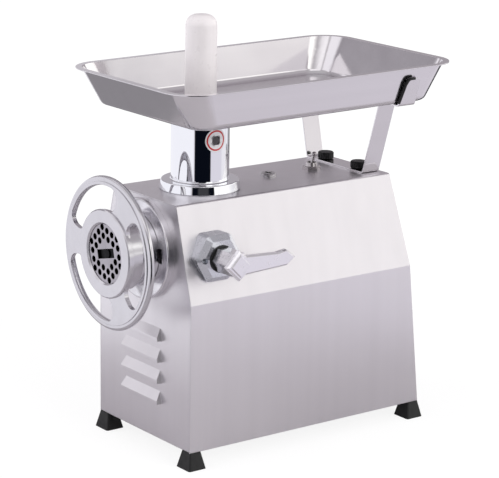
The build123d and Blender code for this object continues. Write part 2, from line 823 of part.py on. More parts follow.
with BuildPart() as auger:
    add(worm)
    disc(auger_root, knife_end_y + 0.2, screw_end_y)
    disc(auger_neck - 0.05, screw_end_y, barrel_end_y - 5)
    with BuildSketch(across(barrel_end_y + 15)):
        with Locations((0, axis_z)):
            Rectangle(drive_square, drive_square)
    slab(barrel_end_y - 5, barrel_end_y + 15)

web_angles = (57, 177, 297)
web_half_angle = 15
web_fillet = 13
mouth_chamfer = 2.2
hoop_rounding = 3.6
opening_outer = hoop_radius - hoop_section + 1
lip_gap = 0.3  # the nut's lip stands this far off the plate

with BuildPart() as ring_nut:
    disc(opening_outer + 4, hoop_y - 1, hoop_y - 1 + web_depth)
    with BuildSketch(across(hoop_y + 10)) as kidneys:
        with Locations((0, axis_z)):
            Circle(opening_outer)
            Circle(hub_radius - 1, mode=Mode.SUBTRACT)
        for angle in web_angles:
            spread = [radians(angle + side * web_half_angle) for side in (-1, 1)]
            with BuildLine():
                corners = [(120 * cos(a), axis_z + 120 * sin(a)) for a in spread]
                Polyline((0, axis_z), *corners, close=True)
            make_face(mode=Mode.SUBTRACT)
        fillet(kidneys.vertices(), web_fillet)
    slab(hoop_y - 10, hoop_y + 10, Mode.SUBTRACT)
    disc(hub_radius, hub_y, hub_y + hub_depth)
    chamfer(ring_nut.faces().sort_by(Axis.Y)[0].edges(), 1.5)
    disc(skirt_radius, hub_y + hub_depth, skirt_end_y)
    disc(mouth_radius, hub_y - 1, plate_front_y + 1, mode=Mode.SUBTRACT)
    mouth_edge = ring_nut.faces().sort_by(Axis.Y)[0].edges().sort_by(SortBy.LENGTH)[0]
    chamfer(mouth_edge, mouth_chamfer)
    disc(thread_radius + 0.08, plate_front_y - lip_gap, skirt_end_y + 1, mode=Mode.SUBTRACT)
    with BuildSketch(Plane.YZ):
        with Locations((hoop_y + hoop_depth / 2, axis_z + hoop_radius - hoop_section / 2)):
            RectangleRounded(hoop_depth, hoop_section, hoop_rounding)
    revolve(axis=Axis((0, 0, axis_z), (0, 1, 0)))

# ---- clamp on the +X side -------------------------------------------------------------------
boss_face_x = 107
hex_flats = 60
hex_rounding = 9
boss_hole_radius = 3.7
seal_outer = 17.5
lever_hub = 13.4
lever_root_x = lever_face_x - 10
screw_radius = 11
pad_x = barrel_radius + 0.3

with BuildPart() as clamp_boss:
    with BuildSketch(Plane.YZ.offset(70)) as hexagon:
        with Locations((clamp_y, clamp_z)):
            RegularPolygon(hex_flats / 2, 6, major_radius=False)
        fillet(hexagon.vertices(), hex_rounding)
    extrude(amount=boss_face_x - 70)
    chamfer(clamp_boss.faces().sort_by(Axis.X)[-1].edges(), 7)
    # the hexagon's foot follows the sloping side of the housing
    with BuildSketch(across(rear_y)):
        with BuildLine():
            Polyline(
                (0, base_z),
                (body_width / 2 + 0.1, base_z),
                (body_width / 2 + 0.1, knee_z),
                (top_width / 2 + 0.1, top_z),
                (0, top_z),
                close=True,
            )
        make_face()
    extrude(amount=body_length, mode=Mode.SUBTRACT)
    rod(boss_radius, 52, 100)
    rod(screw_radius + 0.3, 50, 120, mode=Mode.SUBTRACT)
    rod(seal_outer, boss_face_x - 3, 120, mode=Mode.SUBTRACT)
    rod(boss_hole_radius, boss_face_x - 8, 120, y=clamp_y - 24.5, mode=Mode.SUBTRACT)

with BuildPart() as clamp_seal:
    with BuildSketch(Plane.YZ.offset(boss_face_x - 3)):
        with Locations((clamp_y, clamp_z)):
            Circle(seal_outer)
            Circle(lever_hub + 0.3, mode=Mode.SUBTRACT)
    extrude(amount=4.5)

with BuildPart() as clamp_screw:
    rod(screw_radius, 56, boss_face_x - 3)
    rod(screw_radius - 2, boss_face_x - 3, lever_root_x - 6)

with BuildPart() as clamp_pad:
    rod(screw_radius - 0.5, pad_x, 55)

arm_end_y = clamp_y + 86
arm_half = 10
arm_face_x = lever_face_x - 2.5
nut_flats = 29  # hexagon between the seal and the arm
nut_x = boss_face_x + 2.2
dimple_y = arm_end_y - 17

with BuildPart() as lock_lever:
    with BuildSketch(Plane.YZ.offset(lever_root_x)):
        with BuildLine():
            Polyline(
                (clamp_y - 21, clamp_z - 1),
                (clamp_y - 1, clamp_z + 19),
                (clamp_y + 9, clamp_z + arm_half + 1),
                (arm_end_y - 28, clamp_z + arm_half - 1.5),
                (arm_end_y - 14, clamp_z + arm_half + 0.5),
                (arm_end_y, clamp_z - 1),
                (arm_end_y - 13, clamp_z - arm_half),
                (clamp_y + 9, clamp_z - arm_half - 3),
                (clamp_y - 1, clamp_z - 20),
                close=True,
            )
        make_face()
    extrude(amount=arm_face_x - lever_root_x)
    chamfer(lock_lever.faces().sort_by(Axis.X)[-1].edges(), 2)
    # raised diamond over the root of the arm
    with BuildSketch(Plane.YZ.offset(arm_face_x)):
        with Locations((clamp_y - 1, clamp_z - 0.5)):
            Rectangle(21, 21, rotation=45)
    extrude(amount=lever_face_x - arm_face_x, taper=25)
    # thumb dimple on the upper edge, near the tip
    with Locations(((lever_root_x + arm_face_x) / 2, dimple_y, clamp_z + arm_half + 3)):
        Sphere(5, mode=Mode.SUBTRACT)
    rod(lever_hub, boss_face_x - 2.5, nut_x)
    with BuildSketch(Plane.YZ.offset(nut_x)):
        with Locations((clamp_y, clamp_z)):
            RegularPolygon(nut_flats / 2, 6, major_radius=False)
    extrude(amount=lever_root_x + 1 - nut_x)
    rod(screw_radius - 2, boss_face_x - 4, lever_root_x - 6, mode=Mode.SUBTRACT)

# ---- neck, tray and pusher ------------------------------------------------------------------
spout_radius = neck_bore - 0.4
spout_depth = 18
pusher_flange = 35.4
neck_top_z = tray_under(neck_y - neck_radius) - 0.3

with BuildPart() as neck_tube:
    # the flange stands on a slightly smaller foot and narrows upwards
    post(neck_flange_radius - 1.5, top_z, top_z + 0.6, 0, neck_y)
    with BuildSketch(Plane.XY.offset(top_z + 0.6)):
        with Locations((0, neck_y)):
            Circle(neck_flange_radius)
    extrude(amount=neck_flange_height - 0.6, taper=10)
    post(neck_radius, top_z, neck_top_z, 0, neck_y)
    post(neck_bore - 0.4, axis_z + 25, top_z, 0, neck_y)
    rims = neck_tube.edges().filter_by(GeomType.CIRCLE)
    flange_top = top_z + neck_flange_height
    fillet(rims.filter_by_position(Axis.Z, flange_top - 1, flange_top + 1), 1.5)
    post(neck_bore, top_z + 2, neck_top_z + 1, 0, neck_y, Mode.SUBTRACT)
    post(neck_bore - 4, axis_z, top_z + 5, 0, neck_y, Mode.SUBTRACT)
    disc(socket_radius + 0.4, front_y, barrel_end_y, mode=Mode.SUBTRACT)

side_slope = (side_flare - tray_lip) / tray_depth
end_slope = (end_flare - tray_lip) / tray_depth
foot_corner = 28  # corner radius of the tray's floor; it grows by 8 up to the lip
fold_radius = 10


def tray_form(thickness, z_low, z_high):
    """The flared body of the tray, its walls moved in by a thickness, with a rounded foot."""
    with BuildPart() as form:
        for z in (z_low, z_high):
            side = side_flare - side_slope * (z - tray_z) + thickness * sqrt(1 + side_slope**2)
            end = end_flare - end_slope * (z - tray_z) + thickness * sqrt(1 + end_slope**2)
            corner = foot_corner - thickness + (z - tray_z) / tray_depth * 8
            with BuildSketch(Plane.XY.offset(z)):
                with Locations((0, tray_middle_y)):
                    RectangleRounded(tray_width - 2 * side, tray_length - 2 * end, corner)
        loft()
        fillet(form.faces().sort_by(Axis.Z)[0].edges(), fold_radius - thickness)
    return form.part


def tray_pan():
    """The tray's pressed sheet with its flat lip, level."""
    with BuildPart() as pan:
        add(tray_form(0, tray_z, tray_z + tray_depth))
        with BuildSketch(Plane.XY.offset(tray_z + tray_depth - sheet)):
            with Locations((0, tray_middle_y)):
                RectangleRounded(tray_width, tray_length, tray_corner)
        extrude(amount=sheet)
        add(tray_form(sheet, tray_z + sheet, tray_z + tray_depth + 1), mode=Mode.SUBTRACT)
    return pan.part


with BuildPart() as tray:
    add(tray_pan().rotate(Axis((0, tray_middle_y, tray_z), (1, 0, 0)), tray_tilt))
    spout_low_z = neck_top_z - spout_depth
    spout_top_z = tray_under(neck_y) + sheet / 2
    post(spout_radius, spout_low_z, spout_top_z, 0, neck_y)
    post(spout_radius - sheet, spout_low_z - 1, spout_top_z + 2, 0, neck_y, Mode.SUBTRACT)

pusher_low_z = axis_z + bore_radius + 10
pusher_rest_z = tray_under(neck_y + pusher_flange) + sheet + 0.3

with BuildPart() as pusher:
    post(pusher_radius, pusher_rest_z, pusher_top_z, 0, neck_y)
    fillet(pusher.faces().sort_by(Axis.Z)[-1].edges(), 14)
    post(pusher_flange, pusher_rest_z, pusher_rest_z + 5.7, 0, neck_y)
    post(24.5, pusher_low_z, pusher_rest_z + 1, 0, neck_y)

# ---- tray bracket ---------------------------------------------------------------------------
strap = 2
foot_left = -66
foot_right = 53
arm_left = -89
arm_right = 84
underside_z = tray_under(bracket_y[0]) - 0.3
wall_foot_x = tray_width / 2 - side_flare
tab_height = 36
tab_rounding = 6
tab_taper = 6.5

with BuildPart() as tray_bracket:
    tab_run = tab_height * side_slope
    low = [
        (-wall_foot_x - tab_run - 4, underside_z + tab_height),
        (-wall_foot_x - 2.4, underside_z - strap / 2),
        (arm_left, underside_z - strap / 2),
        (foot_left, top_z + strap / 2),
        (foot_right, top_z + strap / 2),
        (arm_right, underside_z - strap / 2),
        (wall_foot_x + 2.4, underside_z - strap / 2),
        (wall_foot_x + tab_run + 4, underside_z + tab_height),
    ]
    with BuildSketch(across(bracket_y[1])):
        with BuildLine():
            FilletPolyline(*low, radius=4)
        trace(line_width=strap)
    slab(bracket_y[0], bracket_y[1])
    # the tabs narrow upwards along their front edge
    with BuildSketch(Plane.YZ):
        with BuildLine():
            Polyline(
                (bracket_y[0] - 1, underside_z + 2),
                (bracket_y[0], underside_z + 2),
                (bracket_y[0] + tab_taper, underside_z + tab_height + strap),
                (bracket_y[0] - 1, underside_z + tab_height + strap),
                close=True,
            )
        make_face()
    extrude(amount=tray_width, both=True, mode=Mode.SUBTRACT)
    tab_ends = tray_bracket.edges().filter_by_position(
        Axis.Z, underside_z + tab_height - strap, underside_z + tab_height + strap
    )
    fillet(tab_ends.filter_by(lambda edge: edge.length < strap + 0.5), tab_rounding)
    for x in bracket_x:
        post(stud_radius + 0.1, top_z - 1, top_z + 4, x, knob_y, Mode.SUBTRACT)

knob_radius = 10.8
knob_z = top_z + strap + 0.2
knob_height = 9.5


def make_knob(x):
    """A round black thumb nut with a fluted rim."""
    with BuildPart() as knob:
        post(knob_radius, knob_z, knob_z + knob_height, x, knob_y)
        chamfer(knob.edges().filter_by(GeomType.CIRCLE), 1.2)
        with BuildSketch(Plane.XY.offset(knob_z)):
            with Locations((x, knob_y)):
                with PolarLocations(knob_radius + 0.6, 16):
                    Circle(1.2)
        extrude(amount=knob_height, mode=Mode.SUBTRACT)
        post(stud_radius + 0.05, knob_z - 1, knob_z + 6, x, knob_y, Mode.SUBTRACT)
    return knob


knob_far = make_knob(bracket_x[0])
knob_near = make_knob(bracket_x[1])

with BuildPart() as knob_studs:
    for x in bracket_x:
        post(stud_radius, top_z - sheet - 3, knob_z + 5, x, knob_y)
        with BuildSketch(Plane.XY.offset(top_z - sheet - 5)):
            with Locations((x, knob_y)):
                RegularPolygon(5.5, 6)
        extrude(amount=5)

# ---- switch and filler plug -------------------------------------------------------------------
switch_lean = 17
switch_nut_radius = 12.3

with BuildPart() as switch_body:
    x, y = switch_at
    block((x - 9, x + 9), (y - 14, y + 14), (top_z - sheet - 26, top_z - sheet - 1))
    post(6, top_z - sheet - 1, top_z + 8, x, y)
    post(4.6, top_z + 3, top_z + 9, x, y, Mode.SUBTRACT)

with BuildPart() as switch_nut:
    with BuildSketch(Plane.XY.offset(top_z)):
        with Locations(switch_at):
            RegularPolygon(switch_nut_radius, 6)
    extrude(amount=4)
    # a collar that narrows upwards round the lever
    with BuildSketch(Plane.XY.offset(top_z + 4)):
        with Locations(switch_at):
            Circle(8.2)
    extrude(amount=5, taper=12)
    post(6, top_z - 1, top_z + 13, *switch_at, Mode.SUBTRACT)

with BuildPart() as switch_lever:
    along = (0, sin(radians(switch_lean)), cos(radians(switch_lean)))
    pivot = Plane(origin=(*switch_at, top_z + 5), x_dir=(1, 0, 0), z_dir=along)
    with BuildSketch(pivot):
        Circle(2)
    extrude(amount=14, taper=-3)
    with Locations(pivot.offset(14.8)):
        Sphere(3.6)

with BuildPart() as filler_plug:
    post(7.2, top_z - 4, top_z + 1, *plug_at)
    post(10.5, top_z, top_z + 4, *plug_at)
    chamfer(filler_plug.faces().sort_by(Axis.Z)[-1].edges(), 1.2)
    # the cross of the screwdriver's slot
    with BuildSketch(Plane.XY.offset(top_z + 1.5)):
        with Locations(plug_at):
            SlotOverall(14, 3.4)
            SlotOverall(14, 3.4, rotation=90)
    extrude(amount=4, mode=Mode.SUBTRACT)

# ---- write every sub-part ---------------------------------------------------------------------
finished = {
    "housing_shell": housing_shell,
    "front_panel": front_panel,
    "rear_panel": rear_panel,
    "base_plate": base_plate,
    "foot_screws": foot_screws,
    "head_collar": head_collar,
    "head_socket": head_socket,
    "gearbox_case": gearbox_case,
    "gearbox_cover": gearbox_cover,
    "gearbox_bolts": gearbox_bolts,
    "pedestal_bolts": pedestal_bolts,
    "output_shaft": output_shaft,
    "output_gear": output_gear,
    "output_bearings": output_bearings,
    "oil_seal": oil_seal,
    "lay_shaft": lay_shaft,
    "lay_gear": lay_gear,
    "lay_bearings": lay_bearings,
    "motor_shaft": motor_shaft,
    "motor_pinion": motor_pinion,
    "rotor_core": rotor_core,
    "stator_core": stator_core,
    "stator_winding": stator_winding,
    "motor_frame": motor_frame,
    "motor_shield_front": motor_shield_front,
    "motor_shield_rear": motor_shield_rear,
    "motor_bearings": motor_bearings,
    "motor_cradle": motor_cradle,
    "cooling_fan": cooling_fan,
    "fan_cowl": fan_cowl,
    "run_capacitor": run_capacitor,
    "terminal_block": terminal_block,
    "cable_gland": cable_gland,
    "head_barrel": head_barrel,
    "plate_key": plate_key,
    "mincing_plate": mincing_plate,
    "knife": knife,
    "auger_pin": auger_pin,
    "auger": auger,
    "ring_nut": ring_nut,
    "clamp_boss": clamp_boss,
    "clamp_seal": clamp_seal,
    "clamp_screw": clamp_screw,
    "clamp_pad": clamp_pad,
    "lock_lever": lock_lever,
    "neck_tube": neck_tube,
    "tray": tray,
    "pusher": pusher,
    "tray_bracket": tray_bracket,
    "knob_far": knob_far,
    "knob_near": knob_near,
    "knob_studs": knob_studs,
    "switch_body": switch_body,
    "switch_nut": switch_nut,
    "switch_lever": switch_lever,
    "filler_plug": filler_plug,
} | feet
for name, builder in finished.items():
    save(builder, name)
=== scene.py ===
import math

import bmesh
import bpy
from mathutils import Matrix, Vector


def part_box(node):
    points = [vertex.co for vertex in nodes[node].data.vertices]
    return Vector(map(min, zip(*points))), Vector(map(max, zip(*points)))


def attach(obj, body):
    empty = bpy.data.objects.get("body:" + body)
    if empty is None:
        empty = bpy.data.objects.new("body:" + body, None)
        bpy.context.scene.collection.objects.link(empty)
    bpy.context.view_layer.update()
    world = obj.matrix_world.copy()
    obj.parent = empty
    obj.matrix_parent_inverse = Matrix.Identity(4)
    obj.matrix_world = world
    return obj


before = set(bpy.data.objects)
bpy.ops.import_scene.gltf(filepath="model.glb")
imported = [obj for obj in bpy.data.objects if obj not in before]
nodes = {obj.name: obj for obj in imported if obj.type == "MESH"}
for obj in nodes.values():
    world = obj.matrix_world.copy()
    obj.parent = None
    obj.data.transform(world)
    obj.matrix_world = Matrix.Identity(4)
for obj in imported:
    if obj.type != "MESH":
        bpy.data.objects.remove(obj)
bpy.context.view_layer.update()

scene = bpy.context.scene
MM = 0.001
X_AXIS, Y_AXIS, Z_AXIS = 0, 1, 2


# ---- places, read from the frame -----------------------------------------------------------
def middle(node):
    """Centre of a CAD node's box."""
    low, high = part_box(node)
    return (Vector(low) + Vector(high)) / 2


def low_of(node):
    return Vector(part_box(node)[0])


def high_of(node):
    return Vector(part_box(node)[1])


# ---- materials -----------------------------------------------------------------------------
FACE_DEPTH = 0.5 * MM  # painted shade in a hole starts this far behind the face
SLOT_REACH = 7.3 * MM  # half length of the slots in the filler plug
SLOT_DEPTH = 9 * MM


class Recipe:
    """A material's node tree with a Principled shader, and short calls that add nodes to it."""

    def __init__(self, name, colour, roughness, metallic=0.0):
        self.material = bpy.data.materials.new(name)
        self.material.use_nodes = True
        self.tree = self.material.node_tree
        self.shader = self.tree.nodes["Principled BSDF"]
        self.shader.inputs["Base Color"].default_value = (*colour, 1)
        self.shader.inputs["Roughness"].default_value = roughness
        self.shader.inputs["Metallic"].default_value = metallic
        self.colour = colour
        self.roughness = roughness
        self.relief = None

    def add(self, kind, **settings):
        node = self.tree.nodes.new(kind)
        for key, value in settings.items():
            if key in node.inputs:
                node.inputs[key].default_value = value
            else:
                setattr(node, key, value)
        return node

    def link(self, output, target):
        self.tree.links.new(output, target)

    def noise(self, scale, detail=3, stretch=(1, 1, 1), roughness=0.5):
        """Noise in metres: scale is in features per metre, stretch pulls it along an axis."""
        place = self.add("ShaderNodeTexCoord")
        mapping = self.add("ShaderNodeMapping", Scale=tuple(1 / s for s in stretch))
        self.link(place.outputs["Object"], mapping.inputs["Vector"])
        node = self.add("ShaderNodeTexNoise", Scale=scale, Detail=detail, Roughness=roughness)
        self.link(mapping.outputs["Vector"], node.inputs["Vector"])
        return node.outputs["Fac"]

    def ranged(self, value, low, high, start=0.3, stop=0.7):
        """Maps a noise value from start..stop to low..high."""
        node = self.add("ShaderNodeMapRange")
        node.inputs["From Min"].default_value = start
        node.inputs["From Max"].default_value = stop
        node.inputs["To Min"].default_value = low
        node.inputs["To Max"].default_value = high
        self.link(value, node.inputs["Value"])
        return node.outputs["Result"]

    def vary_roughness(self, value, spread):
        self.link(
            self.ranged(value, self.roughness - spread, self.roughness + spread),
            self.shader.inputs["Roughness"],
        )

    def blend_towards(self, other, factor):
        """Blends the base colour so far towards another, by a factor from 0 to 1."""
        base = self.shader.inputs["Base Color"]
        mix = self.add("ShaderNodeMix", data_type="RGBA")
        first, second = [socket for socket in mix.inputs if socket.type == "RGBA"]
        first.default_value = (*self.colour, 1)
        second.default_value = (*other, 1)
        if base.links:
            self.link(base.links[0].from_socket, first)
        self.link(factor, mix.inputs["Factor"])
        self.link([socket for socket in mix.outputs if socket.type == "RGBA"][0], base)

    def vary_colour(self, value, other):
        """Blends the base colour towards another where a noise value is high."""
        self.blend_towards(other, self.ranged(value, 0, 1))

    def darken_inside(self, node, low, high, tone):
        """Gives everything between two corners, in the machine's frame, another colour."""
        into = nodes[node].matrix_world.inverted()
        corners = [into @ Vector(low), into @ Vector(high)]
        place = self.add("ShaderNodeTexCoord")
        split = self.add("ShaderNodeSeparateXYZ")
        self.link(place.outputs["Object"], split.inputs[0])
        inside = None
        for axis in (X_AXIS, Y_AXIS, Z_AXIS):
            ends = sorted(corner[axis] for corner in corners)
            for edge, test in zip(ends, ("GREATER_THAN", "LESS_THAN")):
                past = self.add("ShaderNodeMath", operation=test)
                self.link(split.outputs[axis], past.inputs[0])
                past.inputs[1].default_value = edge
                if inside is not None:
                    both = self.add("ShaderNodeMath", operation="MULTIPLY")
                    self.link(inside, both.inputs[0])
                    self.link(past.outputs[0], both.inputs[1])
                    past = both
                inside = past.outputs[0]
        self.blend_towards(tone, inside)

    def shape_normal(self, node):
        """Puts a relief node after the ones before it, in front of the shader."""
        if self.relief is not None:
            self.link(self.relief, node.inputs["Normal"])
        self.relief = node.outputs["Normal"]
        self.link(self.relief, self.shader.inputs["Normal"])

    def bump(self, value, depth, strength=1.0):
        """Adds relief: depth in metres from the value's low to its high."""
        node = self.add("ShaderNodeBump", Strength=strength, Distance=depth)
        self.link(value, node.inputs["Height"])
        self.shape_normal(node)

    def soften_edges(self, radius):
        """Rounds sharp edges in the shading, as a broken edge does."""
        self.shape_normal(self.add("ShaderNodeBevel", samples=4, Radius=radius))


def shade(colour, factor):
    return tuple(channel * factor for channel in colour)


def steel_sheet(name, colour, roughness, grain_axis, wave=0.0):
    """Stainless sheet: fine brushing along one axis, cloudy polish, and a slow wave if any."""
    recipe = Recipe(name, colour, roughness, 1.0)
    stretch = tuple(60 if axis == grain_axis else 1 for axis in (X_AXIS, Y_AXIS, Z_AXIS))
    recipe.vary_roughness(recipe.noise(14, 4), 0.04)
    recipe.vary_colour(recipe.noise(45, 5, stretch), shade(colour, 0.965))
    recipe.soften_edges(0.0008)
    if wave:
        recipe.bump(recipe.noise(9, 1), wave)
    recipe.bump(recipe.noise(2600, 2, stretch), 0.00002, 0.25)
    return recipe.material


def cast_recipe(name, colour, roughness, pit=0.00006, pit_scale=900, dark=0.8, edge=0.0006):
    """Polished or plain casting: soft unevenness, fine pits, a little darker in soft random
    patches.
    """
    recipe = Recipe(name, colour, roughness, 1.0)
    recipe.vary_roughness(recipe.noise(60, 4), 0.07)
    recipe.vary_colour(recipe.noise(25, 5), shade(colour, dark))
    recipe.soften_edges(edge)
    recipe.bump(recipe.noise(120, 3), pit * 4, 0.35)
    recipe.bump(recipe.noise(pit_scale, 2), pit, 0.3)
    return recipe


def cast_metal(*settings):
    return cast_recipe(*settings).material


def plated(name, colour, roughness, wave=0.00005, edge=0.0005):
    """Chrome or nickel plate: almost a mirror, with slight waves and dust-fine marks."""
    recipe = Recipe(name, colour, roughness, 1.0)
    recipe.vary_roughness(recipe.noise(90, 5), roughness * 0.5)
    recipe.soften_edges(edge)
    recipe.bump(recipe.noise(35, 2), wave, 0.5)
    return recipe.material


def moulded(name, colour, roughness, grain_scale=1800, grain=0.00004, dark=0.85):
    """Moulded plastic or rubber: fine surface grain, uneven gloss, faint streaks."""
    recipe = Recipe(name, colour, roughness)
    recipe.vary_roughness(recipe.noise(150, 4), roughness * 0.2)
    recipe.vary_colour(recipe.noise(60, 4), shade(colour, dark))
    recipe.soften_edges(0.0004)
    recipe.bump(recipe.noise(grain_scale, 2), grain, 0.4)
    return recipe.material


def painted(name, colour, roughness):
    """Paint on metal with a slight orange-peel skin."""
    recipe = Recipe(name, colour, roughness)
    recipe.shader.inputs["Coat Weight"].default_value = 0.3
    recipe.vary_roughness(recipe.noise(80, 4), 0.06)
    recipe.vary_colour(recipe.noise(30, 4), shade(colour, 0.85))
    recipe.soften_edges(0.0005)
    recipe.bump(recipe.noise(500, 2), 0.00003, 0.5)
    return recipe.material


panel_steel = steel_sheet("panel_steel", (0.83, 0.81, 0.835), 0.34, Z_AXIS)
tray_steel = steel_sheet("tray_steel", (0.80, 0.78, 0.80), 0.12, Y_AXIS, 0.0004)
neck_chrome = plated("neck_chrome", (0.88, 0.89, 0.92), 0.03)
lever_chrome = plated("lever_chrome", (0.90, 0.89, 0.92), 0.20, 0.00012)
boss_chrome = plated("boss_chrome", (0.68, 0.70, 0.74), 0.24, 0.00010)
switch_nickel = plated("switch_nickel", (0.50, 0.47, 0.48), 0.22, 0.00005)
nut_aluminium = cast_metal("nut_aluminium", (0.68, 0.67, 0.70), 0.20, 0.000012, 400, 0.94)
bright_aluminium = cast_metal("bright_aluminium", (0.84, 0.83, 0.86), 0.18, 0.00002, 700, 0.90)
dull_aluminium = cast_metal("dull_aluminium", (0.55, 0.55, 0.56), 0.5, 0.0002, 500)
tinned_iron = cast_metal("tinned_iron", (0.60, 0.59, 0.59), 0.38, 0.00015, 500)
ground_steel = cast_metal("ground_steel", (0.52, 0.51, 0.53), 0.28, 0.00003)
dark_steel = cast_metal("dark_steel", (0.012, 0.012, 0.014), 0.5, 0.00003)
zinc = cast_metal("zinc", (0.60, 0.60, 0.57), 0.33, 0.00003)
iron_stack = cast_metal("iron_stack", (0.28, 0.28, 0.29), 0.5, 0.0001)
rubber = moulded("rubber", (0.004, 0.0045, 0.0045), 0.45, 1200, 0.00006)
black_plastic = moulded("black_plastic", (0.012, 0.011, 0.012), 0.28)
knob_plastic = moulded("knob_plastic", (0.0015, 0.0012, 0.0015), 0.5)
white_plastic = moulded("white_plastic", (0.80, 0.765, 0.77), 0.32, 700, 0.00002, 0.97)
motor_paint = painted("motor_paint", (0.05, 0.07, 0.09), 0.4)
copper = cast_metal("copper", (0.62, 0.26, 0.11), 0.35, 0.0002, 700)
brass = cast_metal("brass", (0.70, 0.50, 0.22), 0.3, 0.00004)


def make_plate_steel():
    """The mincing plate's steel: ground bright on its front face, with near-black painted shade
    inside its holes.
    """
    recipe = cast_recipe("plate_steel", (0.50, 0.48, 0.52), 0.32, 0.00003)
    margin = Vector((1, 1, 1)) * MM
    face = low_of("mincing_plate")
    behind_face = face - margin
    behind_face.y = face.y + FACE_DEPTH
    far_corner = high_of("mincing_plate") + margin
    recipe.darken_inside("mincing_plate", behind_face, far_corner, (0.004, 0.004, 0.005))
    return recipe.material


def make_plug_zinc():
    """The filler plug's zinc, with near-black painted shade in the slots of its cross."""
    recipe = cast_recipe("plug_zinc", (0.62, 0.61, 0.62), 0.30, 0.00003)
    centre = middle("filler_plug")
    top = high_of("filler_plug").z
    across = Vector((SLOT_REACH, SLOT_REACH, 0))
    low, high = centre - across, centre + across
    low.z = top - SLOT_DEPTH
    high.z = top - FACE_DEPTH
    recipe.darken_inside("filler_plug", low, high, (0.006, 0.006, 0.006))
    return recipe.material


plate_steel = make_plate_steel()
plug_zinc = make_plug_zinc()

finishes = {
    panel_steel: "housing_shell front_panel rear_panel base_plate fan_cowl",
    tray_steel: "tray tray_bracket",
    neck_chrome: "neck_tube",
    lever_chrome: "lock_lever",
    switch_nickel: "switch_nut switch_lever",
    boss_chrome: "clamp_boss",
    nut_aluminium: "ring_nut",
    bright_aluminium: "head_collar head_barrel",
    dull_aluminium: "head_socket gearbox_case gearbox_cover motor_shield_front motor_shield_rear",
    tinned_iron: "auger",
    plate_steel: "mincing_plate",
    dark_steel: "auger_pin",
    ground_steel: (
        "knife plate_key output_shaft output_gear lay_shaft lay_gear motor_pinion motor_shaft"
        " output_bearings lay_bearings motor_bearings clamp_screw"
    ),
    plug_zinc: "filler_plug",
    zinc: "foot_screws gearbox_bolts pedestal_bolts knob_studs motor_cradle",
    rubber: "foot_front_left foot_front_right foot_rear_left foot_rear_right clamp_seal oil_seal",
    knob_plastic: "knob_near knob_far",
    black_plastic: "switch_body cable_gland terminal_block cooling_fan run_capacitor",
    white_plastic: "pusher",
    brass: "clamp_pad",
    motor_paint: "motor_frame",
    iron_stack: "stator_core rotor_core",
    copper: "stator_winding",
}
for material, names in finishes.items():
    for name in names.split():
        mesh = nodes[name].data
        mesh.materials.clear()
        mesh.materials.append(material)


# ---- pieces the CAD model doesn't have -----------------------------------------------------
def new_piece(name, build, materials, body):
    """Turns a finished bmesh into a piece that moves with one body."""
    mesh = bpy.data.meshes.new(name)
    bmesh.ops.recalc_face_normals(build, faces=build.faces)
    build.to_mesh(mesh)
    build.free()
    for material in materials:
        mesh.materials.append(material)
    piece = bpy.data.objects.new(name, mesh)
    scene.collection.objects.link(piece)
    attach(piece, body)
    return piece


NECK_RADIUS = 37.7 * MM
LABEL_AZIMUTH = math.radians(-3)
LABEL_HEIGHT = 406 * MM
LABEL_RADIUS = 15.2 * MM
LABEL_LIFT = 0.15 * MM
LABEL_SEGMENTS = 64
DARK, WHITE, RED = 0, 1, 2
# each ring's share of the radius, from the middle outwards, and the colour inside it
LABEL_RINGS = [
    (0.02, DARK),
    (0.20, DARK),
    (0.38, DARK),
    (0.40, WHITE),
    (0.58, WHITE),
    (0.74, WHITE),
    (0.75, RED),
    (0.88, RED),
    (0.89, WHITE),
    (1.0, WHITE),
]


def towards_square(angle):
    """How much further out a ring point goes, so that the dark patch is a rounded square."""
    sides = [1 / abs(way(angle) or 1) for way in (math.cos, math.sin)]
    return min(*sides, 1.25)


def make_label():
    """A plain round label on the neck's side: a white disc with a red ring and a dark patch."""
    neck = middle("neck_tube")
    build = bmesh.new()

    def on_neck(radius, angle):
        across, up = radius * math.cos(angle), radius * math.sin(angle)
        turn = LABEL_AZIMUTH + across / NECK_RADIUS
        out = NECK_RADIUS + LABEL_LIFT
        return build.verts.new(
            (neck.x + out * math.cos(turn), neck.y + out * math.sin(turn), LABEL_HEIGHT + up)
        )

    rings = []
    for share, tone in LABEL_RINGS:
        ring = []
        for k in range(LABEL_SEGMENTS):
            angle = 2 * math.pi * k / LABEL_SEGMENTS
            stretch = towards_square(angle) if tone == DARK else 1.0
            ring.append(on_neck(LABEL_RADIUS * share * stretch, angle))
        rings.append(ring)
    build.faces.new(rings[0]).material_index = DARK
    for inner, outer, (_, tone) in zip(rings, rings[1:], LABEL_RINGS[1:]):
        for k in range(LABEL_SEGMENTS):
            k2 = (k + 1) % LABEL_SEGMENTS
            face = build.faces.new((inner[k], inner[k2], outer[k2], outer[k]))
            face.material_index = tone
            face.smooth = True
    tones = [
        moulded("label_dark", (0.05, 0.045, 0.05), 0.4),
        moulded("label_white", (0.78, 0.77, 0.78), 0.4),
        moulded("label_red", (0.55, 0.03, 0.035), 0.4),
    ]
    new_piece("neck_label", build, tones, "housing")


TAB_RUN = 10.6 * MM  # the bracket's near tab leans out this far over its height
TAB_HEIGHT = 37 * MM
TAB_ROUNDING = 6 * MM
TAB_TAPER = 6.5 * MM  # and narrows by this much along its front edge
TRIM_INSET = 1.0 * MM  # the strip's middle line, in from the tab's outer face
TRIM_REACH = 36.2 * MM  # up the tab, where it turns along the top
TRIM_HALF_WIDTH = 1.7 * MM
TRIM_HALF_THICKNESS = 2.1 * MM
TRIM_SIDES = 12
TRIM_SQUARENESS = 0.6  # 1 is an ellipse, less is squarer


